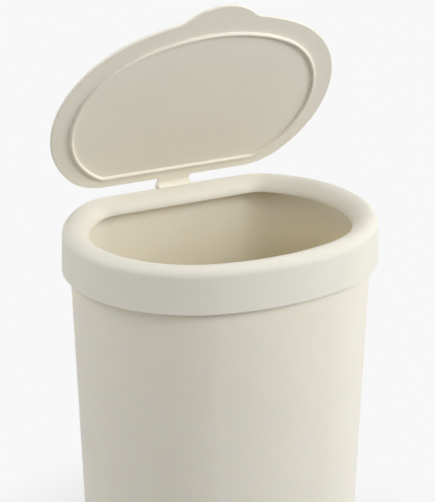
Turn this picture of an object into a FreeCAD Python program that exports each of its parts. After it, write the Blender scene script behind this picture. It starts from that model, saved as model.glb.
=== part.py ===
import FreeCAD, Part
import math
import os
import Sketcher

# D-shaped waste bin with a lift-off collar ring and a flip lid, held open at its photographed angle.
# Millimetres, +Z up, +Y towards the straight back. The origin is on the floor under the middle.

doc = FreeCAD.newDocument("trash_can")
V = FreeCAD.Vector

# Driving dimensions, one row each: name, size, meaning.
SIZES = (
    ("total_height", 330.0, "floor to the top of the rim"),
    ("collar_width", 270.0, "collar outline, side to side"),
    ("collar_depth", 208.0, "collar outline, straight back to curved front"),
    ("corner_radius", 42.6, "collar outline, back corners"),
    ("front_angle", 15.92, "collar outline, half of the angle that the front arc spans"),
    ("shoulder", 69.45, "collar outline, widest line to the end of the straight back"),
    ("collar_height", 37.6, "rim top to the lower edge of the skirt"),
    ("collar_flare", 1.3, "how far the skirt leans out on its way down"),
    ("collar_wall", 2.0, "moulded wall of the collar"),
    ("roll_radius", 8.0, "outer roll of the rim, from the skirt to the crest"),
    ("rim_width", 21.9, "outside of the collar to the mouth"),
    ("slope_height", 11.2, "crest of the rim to the foot of its inner slope"),
    ("throat_radius", 8.0, "lower part of the inner slope"),
    ("lip_length", 1.3, "upright lip of the mouth, below the slope"),
    ("seat_drop", 17.0, "rim top to the bin's flange, which carries the collar"),
    ("seat_wall", 2.0, "web in the collar that stands on the flange"),
    ("body_top_inset", 5.4, "collar outline to the bin wall, at the flange"),
    ("body_base_inset", 13.5, "collar outline to the bin wall, at the floor"),
    ("body_wall", 2.2, "moulded wall of the bin"),
    ("flange_thickness", 2.6, "flange round the bin's top edge"),
    ("collar_clearance", 0.4, "play between the flange and the skirt"),
    ("base_radius", 9.0, "rounding round the bin's foot"),
    ("foot_width", 14.0, "bin wall at the floor to the edge of the raised base"),
    ("base_rise", 4.0, "raised base above the floor"),
    ("lid_width", 258.4, "lid outline, side to side"),
    ("lid_depth", 186.9, "lid outline, straight back to curved front"),
    ("lid_corner_radius", 48.1, "lid outline, back corners"),
    ("lid_front_angle", 24.94, "lid outline, half of the angle that the front arc spans"),
    ("lid_shoulder", 62.55, "lid outline, widest line to the end of the straight back"),
    ("lid_thickness", 2.6, "plate of the lid"),
    ("lid_edge_radius", 0.9, "rounding of the plate's edges"),
    ("lid_rest_gap", 0.2, "play between the shut lid and the rim"),
    ("tab_reach", 12.0, "thumb tab beyond the lid's front"),
    ("tab_radius", 43.0, "crest of the thumb tab"),
    ("tab_blend", 18.0, "hollows beside the thumb tab"),
    ("bead_side_inset", 17.9, "lid outline to the bead under the lid, at the sides"),
    ("bead_front_inset", 18.7, "lid outline to the bead, at the front"),
    ("bead_back_inset", 12.7, "lid outline to the bead, at the back"),
    ("bead_shoulder", 41.3, "widest line of the bead to the end of its straight back"),
    ("bead_corner_radius", 8.0, "bead at its back corners"),
    ("bead_front_angle", 24.81, "bead, half of the angle that its front arc spans"),
    ("bead_width", 3.2, "bead, side to side"),
    ("bead_height", 2.4, "bead below the plate, with a round edge"),
    ("hinge_inset", 2.3, "collar back to the hinge axis"),
    ("hinge_drop", 1.6, "rim top to the hinge axis"),
    ("lid_setback", 10.1, "hinge axis to the back edge of the shut lid"),
    ("hinge_width", 30.5, "lid tongue and knuckle, end to end"),
    ("tongue_fillet", 2.0, "corners where the tongue leaves the lid"),
    ("knuckle_radius", 5.1, "outside of the hinge knuckle"),
    ("lug_width", 18.0, "collar lug inside the knuckle"),
    ("lug_radius", 3.5, "front of the collar lug"),
    ("lug_side_gap", 0.3, "play at each side of the lug"),
    ("cap_gap", 0.3, "play between the lug and the lid's cap over it"),
    ("notch_gap", 0.7, "play between the knuckle and the collar"),
    ("notch_side_gap", 2.0, "room beside the knuckle in the collar's notch"),
    ("hinge_block_wall", 2.4, "collar material left round the notch"),
    ("cap_low_angle", 235.0, "cap over the lug: its free edge, lid shut, counted from +Y towards +Z"),
    ("cap_high_angle", 128.0, "cap over the lug: its edge at the tongue, lid shut"),
    ("lug_play_angle", 12.0, "shut cap to the root of the lug"),
    ("stop_play_angle", 1.0, "play left between the cap and the lug at the stop"),
    ("gusset_angle", 30.0, "where the lug's gusset leaves the knuckle, below the axis"),
    ("gusset_drop", 16.0, "rim top to the foot of the gusset"),
    ("pin_diameter", 3.0, "hinge pin"),
    ("pin_clearance", 0.05, "running play round the pin"),
    ("pin_recess", 0.6, "pin end below the end of the knuckle"),
    ("cut_margin", 1.0, "how far a cut reaches past what it cuts"),
    ("open_angle", 60.0, "how far the lid stands open"),
    ("stop_angle", 100.0, "how far the lid opens against its stop"),
)

sheet = doc.addObject("Spreadsheet::Sheet", "sizes")
for row, (name, size, meaning) in enumerate(SIZES, start=1):
    sheet.set("A%d" % row, meaning)
    sheet.set("B%d" % row, str(size))
    sheet.setAlias("B%d" % row, name)
doc.recompute()


def value(expression):
    """The present value of a sheet expression, for the first position of a sketch."""
    return float(sheet.evalExpression(expression))


# Places that several pieces share.
BACK = "(sizes.collar_depth + sizes.collar_flare + sizes.hinge_inset - sizes.knuckle_radius) / 2"
HINGE_Y = BACK + " - sizes.hinge_inset"
HINGE_Z = "sizes.total_height - sizes.hinge_drop"
SEAT_Z = "sizes.total_height - sizes.seat_drop"
LID_UNDER = "sizes.hinge_drop + sizes.lid_rest_gap"

# Points of a sketch element, and the sketch's own origin and upright axis.
START, END, CENTRE = range(1, 4)
ORIGIN, Y_AXIS = range(-1, -3, -1)


class Outline:
    """A closed run of lines and arcs in a sketch, drawn counter-clockwise."""

    def __init__(self, sketch):
        self.sketch = sketch
        self.ends = []

    def line(self, a, b):
        index = self.sketch.addGeometry(Part.LineSegment(V(*a, 0), V(*b, 0)), False)
        self.ends.append((index, START, END))
        return index

    def arc(self, centre, a, b, hollow=False):
        first, last = (b, a) if hollow else (a, b)
        circle = Part.Circle(V(*centre, 0), V(0, 0, 1), math.dist(centre, a))
        angles = [math.atan2(p[1] - centre[1], p[0] - centre[0]) for p in (first, last)]
        index = self.sketch.addGeometry(Part.ArcOfCircle(circle, *angles), False)
        self.ends.append((index, END, START) if hollow else (index, START, END))
        return index

    def close(self, sharp=()):
        """Joins each piece to the next: smoothly, apart from the ends of the pieces named as sharp."""
        for here, there in zip(self.ends, self.ends[1:] + self.ends[:1]):
            kind = "Coincident" if here[0] in sharp else "Tangent"
            rule(self.sketch, kind, here[0], here[2], there[0], there[1])


def new_body(label):
    body = doc.addObject("PartDesign::Body", label)
    body.Label = label
    return body


def new_sketch(body, name, role, lift=None):
    """A sketch on one of the body's own origin planes, lifted along its normal by an expression."""
    sketch = body.newObject("Sketcher::SketchObject", body.Name + "_" + name)
    plane = [item for item in body.Origin.OriginFeatures if item.Role == role][0]
    sketch.AttachmentSupport = [(plane, "")]
    sketch.MapMode = "FlatFace"
    if lift:
        sketch.setExpression("AttachmentOffset.Base.z", lift)
    return sketch


def rule(sketch, kind, *where):
    sketch.addConstraint(Sketcher.Constraint(kind, *where))


def drive(sketch, expression, kind, *where):
    """Adds a dimension at its present value and ties it to the sheet."""
    index = sketch.addConstraint(Sketcher.Constraint(kind, *where, value(expression)))
    sketch.setExpression("Constraints[%d]" % index, expression)


def drive_x(sketch, expression, index, end):
    drive(sketch, expression, "DistanceX", ORIGIN, START, index, end)


def drive_y(sketch, expression, index, end):
    drive(sketch, expression, "DistanceY", ORIGIN, START, index, end)


def drive_angle(sketch, expression, index):
    """Ties the angle that an arc spans, in degrees, to the sheet."""
    turn = sketch.addConstraint(Sketcher.Constraint("Angle", index, math.radians(value(expression))))
    sketch.setExpression("Constraints[%d]" % turn, expression)


def drive_u(sketch, expression, index, end):
    """Ties how far in from the collar outline a point of a section through the straight back lies."""
    drive_x(sketch, "%s - (%s)" % (BACK, expression), index, end)


def inward(u, height):
    """A point in a section through the straight back: u in from the collar outline, at a height."""
    return (value(BACK) - u, height)


def along(centre, towards, distance):
    """The point at a distance from centre, on the ray through another point."""
    scale = distance / math.dist(centre, towards)
    return tuple(c + (t - c) * scale for c, t in zip(centre, towards))


def at_angle(degrees, radius, centre=(0.0, 0.0)):
    turn = math.radians(degrees)
    return (centre[0] + radius * math.cos(turn), centre[1] + radius * math.sin(turn))


def mirrored(point):
    return (-point[0], point[1])


def draw_circle(sketch, radius, centre=(0.0, 0.0)):
    index = sketch.addGeometry(Part.Circle(V(*centre, 0), V(0, 0, 1), value(radius)), False)
    drive(sketch, radius, "Radius", index)
    return index


def draw_d(sketch, width, depth, corner, front_angle, shoulder, back):
    """Draws a D from sheet expressions: a straight back, then corners, sides and a front, each tangent.

    The shoulder runs from the widest line to the end of the straight back, and the front arc spans its
    angle to each side. The radii of the sides and the front follow.
    """
    half, corner_r, at_shoulder, back_y = value(width) / 2, value(corner), value(shoulder), value(back)
    angle = math.radians(value(front_angle))
    bow = math.tan(angle / 2)
    lean = 1 - bow
    reach = value(depth) - corner_r - half * bow
    turn = at_shoulder - corner_r
    share = reach * lean + turn
    room = share ** 2 - lean ** 2 * (reach ** 2 + turn * (at_shoulder + corner_r))
    side_r = (share - math.sqrt(room)) / lean ** 2
    front_r = side_r + (half - side_r) / math.sin(angle)
    corner_c = (half - at_shoulder, back_y - corner_r)
    front_c = (0.0, back_y - value(depth) + front_r)
    side_c = (half - side_r, front_c[1] - (front_r - side_r) * math.cos(angle))
    at_back = (corner_c[0], back_y)
    at_side = along(side_c, corner_c, side_r)
    at_front = (front_r * math.sin(angle), front_c[1] - front_r * math.cos(angle))
    draw = Outline(sketch)
    line = draw.line(at_back, mirrored(at_back))
    left_corner = draw.arc(mirrored(corner_c), mirrored(at_back), mirrored(at_side))
    left_side = draw.arc(mirrored(side_c), mirrored(at_side), mirrored(at_front))
    nose = draw.arc(front_c, mirrored(at_front), at_front)
    right_side = draw.arc(side_c, at_front, at_side)
    right_corner = draw.arc(corner_c, at_side, at_back)
    draw.close()
    widest = sketch.addGeometry(Part.Point(V(half, side_c[1], 0)), True)
    foremost = sketch.addGeometry(Part.Point(V(0, back_y - value(depth), 0)), True)
    rule(sketch, "Symmetric", line, START, line, END, Y_AXIS)
    rule(sketch, "Equal", left_corner, right_corner)
    rule(sketch, "Equal", left_side, right_side)
    rule(sketch, "PointOnObject", nose, CENTRE, Y_AXIS)
    rule(sketch, "PointOnObject", widest, START, right_side)
    rule(sketch, "Horizontal", widest, START, right_side, CENTRE)
    rule(sketch, "PointOnObject", foremost, START, nose)
    rule(sketch, "PointOnObject", foremost, START, Y_AXIS)
    drive(sketch, corner, "Radius", right_corner)
    drive_angle(sketch, "2 * %s" % front_angle, nose)
    drive_x(sketch, "(%s) / 2" % width, widest, START)
    drive_x(sketch, "(%s) / 2 - (%s)" % (width, shoulder), line, START)
    drive_y(sketch, back, line, START)
    drive_y(sketch, "%s - (%s)" % (back, depth), foremost, START)
    doc.recompute()


def collar_outline(sketch, inset):
    """Draws the collar's D, moved in by an expression."""
    draw_d(sketch, "sizes.collar_width - 2 * (%s)" % inset, "sizes.collar_depth - 2 * (%s)" % inset,
           "sizes.corner_radius - (%s)" % inset, "sizes.front_angle",
           "sizes.shoulder - (%s)" % inset, "%s - (%s)" % (BACK, inset))


def feature(body, kind, name, profile):
    item = body.newObject("PartDesign::" + kind, body.Name + "_" + name)
    item.Profile = profile
    profile.Visibility = False
    return item


def one_way(body, kind, name, profile, length):
    """A pad or pocket of a sketch, all of its length to one side."""
    item = feature(body, kind, name, profile)
    item.setExpression("Length", length)
    doc.recompute()
    return item


def both_ways(body, kind, name, profile, length):
    """A pad or pocket of a sketch, half of its length to each side."""
    item = feature(body, kind, name, profile)
    item.Midplane = True
    item.setExpression("Length", length)
    doc.recompute()
    return item


def swept(body, name, section, path):
    """A section carried round a closed path."""
    item = feature(body, "AdditivePipe", name, section)
    item.Spine = path
    path.Visibility = False
    doc.recompute()
    return item


def rounded(body, name, base, picked, radius):
    """A fillet on the picked edges, or round the picked faces."""
    item = body.newObject("PartDesign::Fillet", body.Name + "_" + name)
    item.Base = (base, picked)
    item.setExpression("Radius", radius)
    doc.recompute()
    return item


# Bin: one section carried round the D makes its tapered wall, rounded foot, flange and foot ring.
bin_body = new_body("bin_body")
bin_path = new_sketch(bin_body, "path", "XY_Plane")
collar_outline(bin_path, "0")

FLANGE_U = "sizes.collar_wall + sizes.collar_clearance"
UNDER_FLANGE = SEAT_Z + " - sizes.flange_thickness"
FOOT_U = "sizes.body_base_inset + sizes.foot_width"
wall, rise = value("sizes.body_wall"), value("sizes.base_rise")
base_inset, top_inset = value("sizes.body_base_inset"), value("sizes.body_top_inset")
base_radius = value("sizes.base_radius")
seat_z, under_flange = value(SEAT_Z), value(UNDER_FLANGE)
flange_u, foot_u = value(FLANGE_U), value(FOOT_U)
panel_u = foot_u + 2 * wall
foot_c = (base_inset + base_radius, base_radius)

section = new_sketch(bin_body, "section", "YZ_Plane")
draw = Outline(section)
bottom = draw.line(inward(foot_u, 0), inward(foot_c[0], 0))
foot = draw.arc(inward(*foot_c), inward(foot_c[0], 0), inward(base_inset, base_radius))
side = draw.line(inward(base_inset, base_radius), inward(top_inset, under_flange))
ledge = draw.line(inward(top_inset, under_flange), inward(flange_u, under_flange))
flange = draw.line(inward(flange_u, under_flange), inward(flange_u, seat_z))
seat = draw.line(inward(flange_u, seat_z), inward(top_inset + wall, seat_z))
inside = draw.line(inward(top_inset + wall, seat_z), inward(base_inset + wall, base_radius))
hollow = draw.arc(inward(*foot_c), inward(base_inset + wall, base_radius), inward(foot_c[0], wall), hollow=True)
floor = draw.line(inward(foot_c[0], wall), inward(foot_u - wall, wall))
riser = draw.line(inward(foot_u - wall, wall), inward(foot_u - wall, rise + wall))
step = draw.line(inward(foot_u - wall, rise + wall), inward(panel_u, rise + wall))
cut = draw.line(inward(panel_u, rise + wall), inward(panel_u, rise))
under = draw.line(inward(panel_u, rise), inward(foot_u, rise))
foot_side = draw.line(inward(foot_u, rise), inward(foot_u, 0))
draw.close(sharp=(side, ledge, flange, seat, floor, riser, step, cut, under, foot_side))
for level in (bottom, ledge, seat, floor, step, under):
    rule(section, "Horizontal", level)
for upright in (flange, riser, cut, foot_side):
    rule(section, "Vertical", upright)
rule(section, "Coincident", hollow, CENTRE, foot, CENTRE)
rule(section, "Parallel", inside, side)
rule(section, "PointOnObject", bottom, START, ORIGIN)
drive(section, "sizes.base_radius", "Radius", foot)
drive(section, "sizes.base_radius - sizes.body_wall", "Radius", hollow)
drive_u(section, "sizes.body_base_inset + sizes.base_radius", foot, CENTRE)
drive_u(section, "sizes.body_top_inset", side, END)
drive_u(section, FLANGE_U, flange, START)
drive_u(section, FOOT_U, foot_side, START)
drive_u(section, FOOT_U + " - sizes.body_wall", riser, START)
drive_u(section, FOOT_U + " + 2 * sizes.body_wall", cut, START)
drive_y(section, UNDER_FLANGE, flange, START)
drive_y(section, SEAT_Z, flange, END)
drive_y(section, "sizes.base_rise + sizes.body_wall", step, START)
drive_y(section, "sizes.base_rise", under, START)
doc.recompute()
swept(bin_body, "shell", section, bin_path)

panel_outline = new_sketch(bin_body, "panel_outline", "XY_Plane", "sizes.base_rise")
collar_outline(panel_outline, FOOT_U + " + sizes.body_wall")
one_way(bin_body, "Pad", "panel", panel_outline, "sizes.body_wall")

# Collar: a rolled rim section carried round the same D, with a web inside that stands on the flange.
collar = new_body("collar")
collar_path = new_sketch(collar, "path", "XY_Plane", "sizes.total_height")
collar_outline(collar_path, "0")

rim_z = value("sizes.total_height")
skirt, flare = value("sizes.collar_wall"), value("sizes.collar_flare")
skirt_z = rim_z - value("sizes.collar_height")
roll_r, rim_w = value("sizes.roll_radius"), value("sizes.rim_width")
slope_h, throat_r = value("sizes.slope_height"), value("sizes.throat_radius")
lip_z = rim_z - slope_h - value("sizes.lip_length")
web_u, web_in = top_inset, top_inset + value("sizes.seat_wall")
# The upper slope has the radius that makes it tangent to the throat.
throat_u = rim_w - throat_r
slope_r = ((throat_u - roll_r) ** 2 + slope_h ** 2 - throat_r ** 2) / (2 * (slope_h - throat_r))
roll_c, slope_c, throat_c = (roll_r, rim_z - roll_r), (roll_r, rim_z - slope_r), (throat_u, rim_z - slope_h)
slope_end = along(slope_c, throat_c, slope_r)
slope_under = along(slope_c, throat_c, slope_r - skirt)
web_top = rim_z - roll_r + math.sqrt((roll_r - skirt) ** 2 - (roll_r - web_u) ** 2)
web_back = rim_z - slope_r + math.sqrt((slope_r - skirt) ** 2 - (web_in - roll_r) ** 2)

section = new_sketch(collar, "section", "YZ_Plane")
draw = Outline(section)
face = draw.line(inward(-flare, skirt_z), inward(0, roll_c[1]))
roll = draw.arc(inward(*roll_c), inward(0, roll_c[1]), inward(roll_r, rim_z))
slope = draw.arc(inward(*slope_c), inward(roll_r, rim_z), inward(*slope_end))
throat = draw.arc(inward(*throat_c), inward(*slope_end), inward(rim_w, throat_c[1]))
lip = draw.line(inward(rim_w, throat_c[1]), inward(rim_w, lip_z))
lip_edge = draw.line(inward(rim_w, lip_z), inward(rim_w - skirt, lip_z))
lip_back = draw.line(inward(rim_w - skirt, lip_z), inward(rim_w - skirt, throat_c[1]))
throat_under = draw.arc(inward(*throat_c), inward(rim_w - skirt, throat_c[1]), inward(*slope_under), hollow=True)
ceiling = draw.arc(inward(*slope_c), inward(*slope_under), inward(web_in, web_back), hollow=True)
web_front = draw.line(inward(web_in, web_back), inward(web_in, seat_z))
web_foot = draw.line(inward(web_in, seat_z), inward(web_u, seat_z))
web_rear = draw.line(inward(web_u, seat_z), inward(web_u, web_top))
roll_under = draw.arc(inward(*roll_c), inward(web_u, web_top), inward(skirt, roll_c[1]), hollow=True)
inner_face = draw.line(inward(skirt, roll_c[1]), inward(skirt - flare, skirt_z))
hem = draw.line(inward(skirt - flare, skirt_z), inward(-flare, skirt_z))
draw.close(sharp=(lip, lip_edge, ceiling, web_front, web_foot, web_rear, inner_face, hem))
for level in (lip_edge, web_foot, hem):
    rule(section, "Horizontal", level)
for upright in (lip, lip_back, web_front, web_rear):
    rule(section, "Vertical", upright)
for outer, inner in ((roll, roll_under), (slope, ceiling), (throat, throat_under)):
    rule(section, "Coincident", inner, CENTRE, outer, CENTRE)
rule(section, "Parallel", inner_face, face)
drive(section, "sizes.throat_radius", "Radius", throat)
drive(section, "sizes.roll_radius - sizes.collar_wall", "Radius", roll_under)
drive(section, "sizes.throat_radius - sizes.collar_wall", "Radius", throat_under)
drive_u(section, "-sizes.collar_flare", face, START)
drive_u(section, "sizes.roll_radius", roll, CENTRE)
drive_u(section, "sizes.roll_radius", slope, START)
drive_u(section, "sizes.rim_width", lip, START)
drive_u(section, "sizes.body_top_inset", web_rear, START)
drive_u(section, "sizes.body_top_inset + sizes.seat_wall", web_front, START)
drive_y(section, "sizes.total_height - sizes.collar_height", face, START)
drive_y(section, "sizes.total_height - sizes.roll_radius", roll, CENTRE)
drive_y(section, "sizes.total_height", slope, START)
drive_y(section, "sizes.total_height - sizes.slope_height", lip, START)
drive_y(section, "sizes.total_height - sizes.slope_height - sizes.lip_length", lip, END)
drive_y(section, SEAT_Z, web_foot, START)
doc.recompute()
swept(collar, "ring", section, collar_path)

# Hinge seat in the collar: a block closes the channel, a round notch clears the knuckle, a lug holds the pin.
NOTCH_R = "sizes.knuckle_radius + sizes.notch_gap"
NOTCH_WIDTH = "sizes.hinge_width + 2 * sizes.notch_side_gap"
HALF_HINGE = "sizes.hinge_width / 2"
BLOCK_FRONT = "sizes.hinge_inset + %s + sizes.hinge_block_wall" % NOTCH_R
BLOCK_LOW = HINGE_Z + " - (%s) - sizes.hinge_block_wall" % NOTCH_R
BLOCK_TOP = "sizes.total_height - sizes.collar_wall / 2"
BLOCK_SHOULDER = "sizes.total_height - 0.6 * sizes.roll_radius"
axis = (value(HINGE_Y), value(HINGE_Z))
knuckle = value("sizes.knuckle_radius")
block_front, block_rear = value(BLOCK_FRONT), skirt / 2
block_low, block_top, block_shoulder = value(BLOCK_LOW), value(BLOCK_TOP), value(BLOCK_SHOULDER)


def on_axis(sketch, index):
    """Ties the centre of a round in a section to the hinge axis."""
    drive_x(sketch, HINGE_Y, index, CENTRE)
    drive_y(sketch, HINGE_Z, index, CENTRE)


block_section = new_sketch(collar, "block_section", "YZ_Plane")
draw = Outline(block_section)
low = draw.line(inward(block_front, block_low), inward(block_rear, block_low))
rear = draw.line(inward(block_rear, block_low), inward(block_rear, block_shoulder))
lean = draw.line(inward(block_rear, block_shoulder), inward(roll_r, block_top))
lid_seat = draw.line(inward(roll_r, block_top), inward(block_front, block_top))
front = draw.line(inward(block_front, block_top), inward(block_front, block_low))
draw.close(sharp=(low, rear, lean, lid_seat, front))
rule(block_section, "Horizontal", low)
rule(block_section, "Horizontal", lid_seat)
rule(block_section, "Vertical", rear)
rule(block_section, "Vertical", front)
drive_u(block_section, BLOCK_FRONT, front, START)
drive_u(block_section, "sizes.collar_wall / 2", rear, START)
drive_u(block_section, "sizes.roll_radius", lean, END)
drive_y(block_section, BLOCK_LOW, low, START)
drive_y(block_section, BLOCK_SHOULDER, rear, END)
drive_y(block_section, BLOCK_TOP, lid_seat, START)
doc.recompute()
both_ways(collar, "Pad", "block", block_section, NOTCH_WIDTH + " + 2 * sizes.hinge_block_wall")

notch_section = new_sketch(collar, "notch_section", "YZ_Plane")
on_axis(notch_section, draw_circle(notch_section, NOTCH_R, axis))
doc.recompute()
both_ways(collar, "Pocket", "notch", notch_section, NOTCH_WIDTH)

# The lug is slim in front, where the lid's cap swings, and full behind, where its shoulder stops the cap.
LUG_LOW = "sizes.cap_low_angle + sizes.lug_play_angle"
STOP = "sizes.cap_high_angle - sizes.stop_angle - sizes.stop_play_angle"
ROOT_R = NOTCH_R + " + sizes.hinge_block_wall / 2"
lug_low, stop_at, lug_r = value(LUG_LOW), value(STOP), value("sizes.lug_radius")
throat_in = at_angle(lug_low, lug_r, axis)
throat_out = at_angle(lug_low, value(ROOT_R), axis)
gusset_foot = inward(block_rear, rim_z - value("sizes.gusset_drop"))
gusset_top = at_angle(-value("sizes.gusset_angle"), knuckle, axis)
stop_out = at_angle(stop_at, knuckle, axis)
stop_in = at_angle(stop_at, lug_r, axis)

lug_section = new_sketch(collar, "lug_section", "YZ_Plane")
draw = Outline(lug_section)
root = draw.line(throat_in, throat_out)
web = draw.line(throat_out, gusset_foot)
gusset = draw.line(gusset_foot, gusset_top)
heel = draw.arc(axis, gusset_top, stop_out)
stop = draw.line(stop_out, stop_in)
nose = draw.arc(axis, stop_in, throat_in)
draw.close(sharp=(root, web, gusset, heel, stop, nose))
bore = draw_circle(lug_section, "sizes.pin_diameter / 2", axis)
on_axis(lug_section, nose)
rule(lug_section, "Coincident", heel, CENTRE, nose, CENTRE)
rule(lug_section, "Coincident", bore, CENTRE, nose, CENTRE)
rule(lug_section, "PointOnObject", nose, CENTRE, stop)
rule(lug_section, "PointOnObject", nose, CENTRE, root)
drive(lug_section, "sizes.lug_radius", "Radius", nose)
drive(lug_section, "sizes.knuckle_radius", "Radius", heel)
drive_x(lug_section, "%s + sizes.lug_radius * cos(%s)" % (HINGE_Y, LUG_LOW), root, START)
drive_x(lug_section, "%s + (%s) * cos(%s)" % (HINGE_Y, ROOT_R, LUG_LOW), root, END)
drive_u(lug_section, "sizes.collar_wall / 2", gusset, START)
drive_y(lug_section, "sizes.total_height - sizes.gusset_drop", gusset, START)
drive_y(lug_section, HINGE_Z + " - sizes.knuckle_radius * sin(sizes.gusset_angle)", heel, START)
drive_y(lug_section, "%s + sizes.knuckle_radius * sin(%s)" % (HINGE_Z, STOP), heel, END)
doc.recompute()
both_ways(collar, "Pad", "lug", lug_section, "sizes.lug_width")

# Lid, drawn shut about its hinge axis: a D plate, a thumb tab in front and a hinge tongue behind.
lid = new_body("lid")
LID_BACK = "-sizes.lid_setback"
TAB_Y = "sizes.tab_radius - sizes.tab_reach - sizes.lid_depth - sizes.lid_setback"
TONGUE_ROOT = LID_BACK + " - sizes.tongue_fillet"


def upright_edges(shape, miss):
    """Names of the pair of upright edges that come nearest by a measure of their place."""
    names = ["Edge%d" % i for i, edge in enumerate(shape.Edges, start=1)
             if round(abs(edge.tangentAt(edge.FirstParameter).z)) == 1]
    return sorted(names, key=lambda name: miss(shape.getElement(name).CenterOfMass))[:2]


def level_faces(shape):
    return ["Face%d" % i for i, face in enumerate(shape.Faces, start=1)
            if round(abs(face.normalAt(0, 0).z)) == 1]


def off_tab(point):
    return abs(math.dist((point.x, point.y), (0, value(TAB_Y))) - value("sizes.tab_radius"))


def off_tongue(point):
    return math.dist((abs(point.x), point.y), (value(HALF_HINGE), value(LID_BACK)))


plate_outline = new_sketch(lid, "plate_outline", "XY_Plane", LID_UNDER)
draw_d(plate_outline, "sizes.lid_width", "sizes.lid_depth", "sizes.lid_corner_radius",
       "sizes.lid_front_angle", "sizes.lid_shoulder", LID_BACK)
one_way(lid, "Pad", "plate", plate_outline, "sizes.lid_thickness")

tab_outline = new_sketch(lid, "tab_outline", "XY_Plane", LID_UNDER)
circle = draw_circle(tab_outline, "sizes.tab_radius", (0, value(TAB_Y)))
rule(tab_outline, "PointOnObject", circle, CENTRE, Y_AXIS)
drive_y(tab_outline, TAB_Y, circle, CENTRE)
doc.recompute()
tab = one_way(lid, "Pad", "tab", tab_outline, "sizes.lid_thickness")
tab_blends = rounded(lid, "tab_blends", tab, upright_edges(tab.Shape, off_tab), "sizes.tab_blend")

half_tongue, tongue_root = value(HALF_HINGE), value(TONGUE_ROOT)
tongue_outline = new_sketch(lid, "tongue_outline", "XY_Plane", LID_UNDER)
draw = Outline(tongue_outline)
end = draw.line((half_tongue, 0), (-half_tongue, 0))
left = draw.line((-half_tongue, 0), (-half_tongue, tongue_root))
root = draw.line((-half_tongue, tongue_root), (half_tongue, tongue_root))
right = draw.line((half_tongue, tongue_root), (half_tongue, 0))
draw.close(sharp=(end, left, root, right))
rule(tongue_outline, "Symmetric", end, START, end, END, Y_AXIS)
rule(tongue_outline, "Horizontal", root)
rule(tongue_outline, "Vertical", left)
rule(tongue_outline, "Vertical", right)
drive_x(tongue_outline, HALF_HINGE, end, START)
rule(tongue_outline, "PointOnObject", end, START, ORIGIN)
drive_y(tongue_outline, TONGUE_ROOT, root, START)
doc.recompute()
tongue = one_way(lid, "Pad", "tongue", tongue_outline, "sizes.lid_thickness")
tongue_fillets = rounded(lid, "tongue_fillets", tongue, upright_edges(tongue.Shape, off_tongue),
                         "sizes.tongue_fillet")
rounded(lid, "edges", tongue_fillets, level_faces(tongue_fillets.Shape), "sizes.lid_edge_radius")

# Bead under the plate: a D of its own, with the straight run along the hinge.
BEAD_BACK = LID_BACK + " - sizes.bead_back_inset"
BEAD_C = LID_UNDER + " - sizes.bead_height + sizes.bead_width / 2"
BEAD_ROOT = LID_UNDER + " + sizes.lid_thickness / 2"
bead_path = new_sketch(lid, "bead_path", "XY_Plane", LID_UNDER)
draw_d(bead_path, "sizes.lid_width - 2 * sizes.bead_side_inset",
       "sizes.lid_depth - sizes.bead_front_inset - sizes.bead_back_inset", "sizes.bead_corner_radius",
       "sizes.bead_front_angle", "sizes.bead_shoulder", BEAD_BACK)

bead_y, bead_c, bead_root = value(BEAD_BACK), value(BEAD_C), value(BEAD_ROOT)
half_bead = value("sizes.bead_width / 2")
bead_section = new_sketch(lid, "bead_section", "YZ_Plane")
draw = Outline(bead_section)
edge = draw.arc((bead_y, bead_c), (bead_y - half_bead, bead_c), (bead_y + half_bead, bead_c))
rear = draw.line((bead_y + half_bead, bead_c), (bead_y + half_bead, bead_root))
buried = draw.line((bead_y + half_bead, bead_root), (bead_y - half_bead, bead_root))
front = draw.line((bead_y - half_bead, bead_root), (bead_y - half_bead, bead_c))
draw.close(sharp=(rear, buried))
rule(bead_section, "Vertical", rear)
rule(bead_section, "Vertical", front)
rule(bead_section, "Horizontal", buried)
drive(bead_section, "sizes.bead_width / 2", "Radius", edge)
drive_x(bead_section, BEAD_BACK, edge, CENTRE)
drive_y(bead_section, BEAD_C, edge, CENTRE)
drive_y(bead_section, BEAD_ROOT, buried, START)
doc.recompute()
swept(lid, "bead", bead_section, bead_path)

# Knuckle: a round bar across the tongue, opened in the middle so that only a cap passes over the lug.
knuckle_section = new_sketch(lid, "knuckle_section", "YZ_Plane")
circle = draw_circle(knuckle_section, "sizes.knuckle_radius")
rule(knuckle_section, "Coincident", circle, CENTRE, ORIGIN, START)
doc.recompute()
both_ways(lid, "Pad", "knuckle", knuckle_section, "sizes.hinge_width")

CAP_IN = "sizes.lug_radius + sizes.cap_gap"
CLEAR_R = "sizes.knuckle_radius + sizes.cut_margin"
cap_low, cap_high = value("sizes.cap_low_angle"), value("sizes.cap_high_angle")
cap_in, clear_r = value(CAP_IN), value(CLEAR_R)
opening = new_sketch(lid, "knuckle_opening", "YZ_Plane")
draw = Outline(opening)
low_side = draw.line(at_angle(cap_low, cap_in), at_angle(cap_low, clear_r))
sweep = draw.arc((0, 0), at_angle(cap_low, clear_r), at_angle(cap_high, clear_r))
high_side = draw.line(at_angle(cap_high, clear_r), at_angle(cap_high, cap_in))
cap_inside = draw.arc((0, 0), at_angle(cap_high, cap_in), at_angle(cap_low, cap_in))
draw.close(sharp=(low_side, sweep, high_side, cap_inside))
rule(opening, "Coincident", sweep, CENTRE, ORIGIN, START)
rule(opening, "Coincident", cap_inside, CENTRE, ORIGIN, START)
rule(opening, "PointOnObject", ORIGIN, START, low_side)
rule(opening, "PointOnObject", ORIGIN, START, high_side)
drive(opening, CAP_IN, "Radius", cap_inside)
drive(opening, CLEAR_R, "Radius", sweep)
drive_x(opening, "(%s) * cos(sizes.cap_low_angle)" % CLEAR_R, low_side, END)
drive_x(opening, "(%s) * cos(sizes.cap_high_angle)" % CLEAR_R, high_side, START)
doc.recompute()
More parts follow.
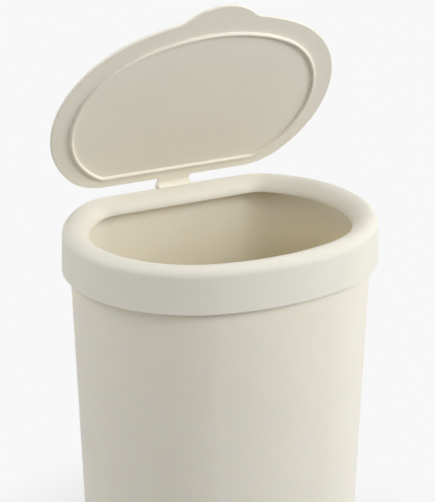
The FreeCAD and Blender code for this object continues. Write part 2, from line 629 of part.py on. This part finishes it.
both_ways(lid, "Pocket", "knuckle_gap", opening, "sizes.lug_width + 2 * sizes.lug_side_gap")

pin_hole = new_sketch(lid, "pin_hole", "YZ_Plane")
circle = draw_circle(pin_hole, "sizes.pin_diameter / 2 + sizes.pin_clearance")
rule(pin_hole, "Coincident", circle, CENTRE, ORIGIN, START)
doc.recompute()
both_ways(lid, "Pocket", "pin_bore", pin_hole, "sizes.hinge_width + 2 * sizes.cut_margin")

lid.setExpression("Placement.Base.y", HINGE_Y)
lid.setExpression("Placement.Base.z", HINGE_Z)
lid.Placement.Rotation = FreeCAD.Rotation(V(-1, 0, 0), value("sizes.open_angle"))
lid.setExpression("Placement.Rotation.Angle", "sizes.open_angle")
doc.recompute()

# Hinge pin: a plain rod, held in the lug and running in the lid's knuckle.
hinge_pin = new_body("hinge_pin")
pin_section = new_sketch(hinge_pin, "section", "YZ_Plane")
circle = draw_circle(pin_section, "sizes.pin_diameter / 2")
rule(pin_section, "Coincident", circle, CENTRE, ORIGIN, START)
doc.recompute()
both_ways(hinge_pin, "Pad", "rod", pin_section, "sizes.hinge_width - 2 * sizes.pin_recess")
hinge_pin.setExpression("Placement.Base.y", HINGE_Y)
hinge_pin.setExpression("Placement.Base.z", HINGE_Z)
doc.recompute()

# Every piece has to be sound before it is written.
os.makedirs("parts", exist_ok=True)
for body in (bin_body, collar, lid, hinge_pin):
    for item in [body] + list(body.Group):
        if "Invalid" in item.State or "Error" in item.State:
            raise RuntimeError("%s did not recompute" % item.Name)
    if body.Shape.isNull() or not body.Shape.isValid() or len(body.Shape.Solids) != 1:
        raise RuntimeError("%s is not one sound solid" % body.Label)
    body.Shape.exportStep("parts/%s.step" % body.Label)
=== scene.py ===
"""Cream D-shaped trash can with its flip lid open: materials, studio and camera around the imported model."""
import math
import bpy
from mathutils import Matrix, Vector

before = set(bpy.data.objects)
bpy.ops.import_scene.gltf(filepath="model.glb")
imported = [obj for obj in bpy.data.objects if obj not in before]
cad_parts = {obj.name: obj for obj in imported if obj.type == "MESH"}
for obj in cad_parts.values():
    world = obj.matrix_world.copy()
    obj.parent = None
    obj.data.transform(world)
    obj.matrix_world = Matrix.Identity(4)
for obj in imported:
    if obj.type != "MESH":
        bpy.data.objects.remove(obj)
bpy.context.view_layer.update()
scene = bpy.context.scene

# Camera, solved from the photograph's edges; metres and degrees in the part's frame.
CAMERA_AT = Vector((-0.6088, -1.1747, 0.8154))
CAMERA_AZIMUTH = -27.105
CAMERA_ELEVATION = 21.225
LENS_MM = 121.47

# Moulded plastic, linear colours; the flow clouds darken them by a few percent.
BIN_CREAM = (0.815, 0.78, 0.69)
# Painted bounce light: the bin's inner faces get a warmer cream than its outside, for the glow of light passed
# between its walls.
INSIDE_PAINTED_BOUNCE = (0.84, 0.79, 0.67)
COLLAR_CREAM = (0.795, 0.767, 0.68)
# Painted light: the lid's underside is lighter than its upper side, which takes the collar's colour.
LID_UNDERSIDE_PAINTED_LIGHT = (0.88, 0.845, 0.735)
CLOUD_SHADE = 0.965
CLOUD_SPAN = (0.1, 0.6)
GLOSS_SPAN = (0.3, 0.7)
PLASTIC_ROUGHNESS = (0.58, 0.7)
GRAIN_STRENGTH = 0.05
GRAIN_DEPTH = 0.0002
# Scale, detail and roughness of each noise; the last one is for the rod.
CLOUD_NOISE = (14.0, 3.0, 0.5)
GLOSS_NOISE = (55.0, 4.0, 0.55)
GRAIN_NOISE = (1400.0, 2.0, 0.6)
LINE_NOISE = (1.0, 3.0, 0.5)

# The bin's thin wall lets a little warm light through.
WALL_GLOW = 0.5
GLOW_DEPTH = 0.005
GLOW_SPREAD = (1.0, 0.8, 0.4)
# Tips the bin's outward direction down, so that faces which look straight up count as its inside.
OUTWARD_DIP = 0.05
# The lid's angle in the photograph, from shut.
LID_OPEN = math.radians(60)

# Drawn rod; the stretch sets its lines along X.
STEEL = (0.55, 0.55, 0.55, 1.0)
STEEL_ROUGHNESS = (0.25, 0.45)
LINE_STRETCH = (60.0, 3000.0, 3000.0)

# The floor as it lights the bin, as it is seen, and the backdrop that it fades into.
FLOOR_TONE = (0.35, 0.35, 0.35, 1.0)
FLOOR_SEEN = (0.88, 0.88, 0.88, 1.0)
BACKDROP = (0.935, 0.935, 0.935, 1.0)
FLOOR_HALF = 6.0
FLOOR_ROUGHNESS = 0.9
# Distances from the bin's axis over which the fade runs, and the backdrop's share at either end.
FADE_REACH = (0.12, 0.26)
FADE_SHARE = (0.4, 1.0)

# Name, azimuth, elevation, size and power of each lamp; azimuth 0 is in front, 90 to the right.
LAMPS = (
    ("front_right", 30, 30, 2.0, 66),
    ("low_right", 60, 12, 1.4, 52),
    ("right", 90, 30, 2.0, 27),
    ("front", 0, 35, 2.0, 32),
    ("left_back", -120, 40, 2.0, 58),
    ("left", -90, 12, 1.4, 40),
    ("right_back", 150, 40, 2.0, 30),
    ("top", 0, 89, 1.4, 26),
)
LAMP_DISTANCE = 4.0
LAMP_TARGET = Vector((0, 0, 0.28))
DIFFUSE_BOUNCES = 10
# Calms the speckle where a lamp mirrors in a surface seen almost edge-on.
BRIGHTEST_SAMPLE = 2.2


def feed(tree, socket, value):
    """Sets an input to a plain value, or links it to another node's output."""
    if isinstance(value, bpy.types.NodeSocket):
        tree.links.new(value, socket)
    else:
        socket.default_value = value


def node(tree, kind, **inputs):
    """A new node with its inputs by name."""
    item = tree.nodes.new(kind)
    for name, value in inputs.items():
        feed(tree, item.inputs[name.replace("_", " ")], value)
    return item


def reckon(tree, kind, operation, *values):
    """The outputs of a new math node, which has its inputs in order."""
    item = tree.nodes.new(kind)
    item.operation = operation
    for socket, value in zip(item.inputs, values):
        feed(tree, socket, value)
    return item.outputs


def noise(tree, place, scale, detail, roughness):
    item = node(tree, "ShaderNodeTexNoise", Vector=place, Scale=scale, Detail=detail, Roughness=roughness)
    return item.outputs["Fac"]


def new_material(name):
    """A material with its node tree, its shader and the outputs of its texture coordinates."""
    material = bpy.data.materials.new(name)
    material.use_nodes = True
    tree = material.node_tree
    return material, tree, tree.nodes["Principled BSDF"], tree.nodes.new("ShaderNodeTexCoord").outputs


def flow_clouds(tree, clouds, colour):
    """The colour with faint clouds in it, from a noise."""
    tint = node(tree, "ShaderNodeValToRGB", Fac=clouds)
    shaded, full = tint.color_ramp.elements
    shaded.color = (*(CLOUD_SHADE * part for part in colour), 1)
    full.color = (*colour, 1)
    shaded.position, full.position = CLOUD_SPAN
    return tint.outputs["Color"]


def faces_inward(tree, place):
    """1 on the bin's inner wall and floor, 0 on its outside."""
    level, dip = (1, 1, 0), (0, 0, -OUTWARD_DIP)
    outward = reckon(tree, "ShaderNodeVectorMath", "MULTIPLY_ADD", place["Object"], level, dip)
    facing = reckon(tree, "ShaderNodeVectorMath", "DOT_PRODUCT", outward["Vector"], place["Normal"])
    return reckon(tree, "ShaderNodeMath", "LESS_THAN", facing["Value"], 0.0)["Value"]


def faces_up(tree, place):
    """1 on the lid's upper side, 0 on its underside, which is painted lighter; the lid's own axes are those of
    the open pose.
    """
    upward = (0, math.sin(LID_OPEN), math.cos(LID_OPEN))
    facing = reckon(tree, "ShaderNodeVectorMath", "DOT_PRODUCT", place["Normal"], upward)
    return reckon(tree, "ShaderNodeMath", "GREATER_THAN", facing["Value"], 0.0)["Value"]


def moulded_plastic(name, colour, second=None, where=None):
    """Satin plastic with faint clouds, patchy gloss, a fine grain and perhaps a second colour on some faces,
    which paints a difference of light between those faces and the rest.
    """
    material, tree, shader, place = new_material(name)
    clouds = noise(tree, place["Object"], *CLOUD_NOISE)
    tint = flow_clouds(tree, clouds, colour)
    if second:
        other = flow_clouds(tree, clouds, second)
        both = node(tree, "ShaderNodeMixRGB", Fac=where(tree, place), Color1=tint, Color2=other)
        tint = both.outputs["Color"]
    gloss = noise(tree, place["Object"], *GLOSS_NOISE)
    rough = node(tree, "ShaderNodeMapRange", Value=gloss, From_Min=GLOSS_SPAN[0], From_Max=GLOSS_SPAN[1],
                 To_Min=PLASTIC_ROUGHNESS[0], To_Max=PLASTIC_ROUGHNESS[1])
    grain = noise(tree, place["Object"], *GRAIN_NOISE)
    bump = node(tree, "ShaderNodeBump", Strength=GRAIN_STRENGTH, Distance=GRAIN_DEPTH, Height=grain)
    feed(tree, shader.inputs["Base Color"], tint)
    feed(tree, shader.inputs["Roughness"], rough.outputs["Result"])
    feed(tree, shader.inputs["Normal"], bump.outputs["Normal"])
    return material


def bin_plastic():
    """The bin's plastic: a warmer colour on its inside, which is painted bounce light, and a wall that lets
    light through.
    """
    material = moulded_plastic("bin_moulding", BIN_CREAM, INSIDE_PAINTED_BOUNCE, faces_inward)
    shader = material.node_tree.nodes["Principled BSDF"]
    shader.inputs["Subsurface Weight"].default_value = WALL_GLOW
    shader.inputs["Subsurface Scale"].default_value = GLOW_DEPTH
    shader.inputs["Subsurface Radius"].default_value = GLOW_SPREAD
    return material


def drawn_steel(name):
    """Plain drawn rod: fine lines along its length."""
    material, tree, shader, place = new_material(name)
    stretch = node(tree, "ShaderNodeMapping", Vector=place["Object"], Scale=LINE_STRETCH)
    lines = noise(tree, stretch.outputs["Vector"], *LINE_NOISE)
    rough = node(tree, "ShaderNodeMapRange", Value=lines,
                 To_Min=STEEL_ROUGHNESS[0], To_Max=STEEL_ROUGHNESS[1])
    feed(tree, shader.inputs["Base Color"], STEEL)
    feed(tree, shader.inputs["Metallic"], 1.0)
    feed(tree, shader.inputs["Roughness"], rough.outputs["Result"])
    return material


def dress(name, material):
    """Gives a node of the frame its only material."""
    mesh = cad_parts[name].data
    mesh.materials.clear()
    mesh.materials.append(material)


def seen_or_mirrored(tree):
    """1 for what the camera sees, directly or as a reflection, and 0 for light on its way to a surface."""
    path = tree.nodes.new("ShaderNodeLightPath").outputs
    return reckon(tree, "ShaderNodeMath", "MAXIMUM", path["Is Camera Ray"], path["Is Glossy Ray"])["Value"]


def studio_floor():
    """A pale floor that fades into an even backdrop away from the bin, and takes the shadow at its foot."""
    half = FLOOR_HALF
    corners = [(-half, -half, 0), (half, -half, 0), (half, half, 0), (-half, half, 0)]
    mesh = bpy.data.meshes.new("studio_floor")
    mesh.from_pydata(corners, [], [(0, 1, 2, 3)])
    floor = bpy.data.objects.new("studio_floor", mesh)
    scene.collection.objects.link(floor)
    material, tree, shader, place = new_material("studio_floor")
    path = tree.nodes.new("ShaderNodeLightPath").outputs
    tone = node(tree, "ShaderNodeMixRGB", Fac=path["Is Camera Ray"], Color1=FLOOR_TONE, Color2=FLOOR_SEEN)
    feed(tree, shader.inputs["Base Color"], tone.outputs["Color"])
    feed(tree, shader.inputs["Roughness"], FLOOR_ROUGHNESS)
    glow = node(tree, "ShaderNodeEmission", Color=BACKDROP, Strength=1.0)
    reach = reckon(tree, "ShaderNodeVectorMath", "LENGTH", place["Object"])["Value"]
    fade = node(tree, "ShaderNodeMapRange", Value=reach, From_Min=FADE_REACH[0], From_Max=FADE_REACH[1],
                To_Min=FADE_SHARE[0], To_Max=FADE_SHARE[1])
    share = reckon(tree, "ShaderNodeMath", "MULTIPLY", seen_or_mirrored(tree), fade.outputs["Result"])
    mix = node(tree, "ShaderNodeMixShader", Fac=share["Value"])
    feed(tree, mix.inputs[1], shader.outputs["BSDF"])
    feed(tree, mix.inputs[2], glow.outputs["Emission"])
    feed(tree, tree.nodes["Material Output"].inputs["Surface"], mix.outputs["Shader"])
    mesh.materials.append(material)


def white_room():
    """Walls that look like the backdrop, also in reflections, and give no light of their own."""
    world = bpy.data.worlds.new("studio")
    scene.world = world
    world.use_nodes = True
    tree = world.node_tree
    walls = tree.nodes["Background"]
    feed(tree, walls.inputs["Color"], BACKDROP)
    feed(tree, walls.inputs["Strength"], seen_or_mirrored(tree))


def direction(azimuth, elevation):
    """The unit vector from the bin towards an azimuth and an elevation in degrees."""
    turn, rise = math.radians(azimuth), math.radians(elevation)
    return Vector((math.sin(turn) * math.cos(rise), -math.cos(turn) * math.cos(rise), math.sin(rise)))


def place_looking(name, data, location, ahead):
    """A lamp or camera at a location, turned to look ahead."""
    item = bpy.data.objects.new(name, data)
    item.location = location
    item.rotation_euler = ahead.to_track_quat("-Z", "Y").to_euler()
    scene.collection.objects.link(item)
    return item


def softbox(name, azimuth, elevation, size, power):
    """A square area lamp, aimed at the bin's axis a little under the rim."""
    data = bpy.data.lights.new(name, "AREA")
    data.size = size
    data.energy = power
    away = direction(azimuth, elevation)
    place_looking(name, data, LAMP_TARGET + away * LAMP_DISTANCE, -away)


def photo_camera():
    data = bpy.data.cameras.new("camera")
    data.lens = LENS_MM
    scene.camera = place_looking("camera", data, CAMERA_AT, -direction(CAMERA_AZIMUTH, CAMERA_ELEVATION))


dress("bin_body", bin_plastic())
dress("collar", moulded_plastic("collar_moulding", COLLAR_CREAM))
# The lid's underside gets the lighter cream, painted light; its upper side gets the collar's colour.
dress("lid", moulded_plastic("lid_moulding", LID_UNDERSIDE_PAINTED_LIGHT, COLLAR_CREAM, faces_up))
dress("hinge_pin", drawn_steel("pin_rod"))

studio_floor()
white_room()
for lamp in LAMPS:
    softbox(*lamp)
photo_camera()
scene.cycles.diffuse_bounces = DIFFUSE_BOUNCES
scene.cycles.sample_clamp_direct = BRIGHTEST_SAMPLE
scene.view_settings.view_transform = "Standard"
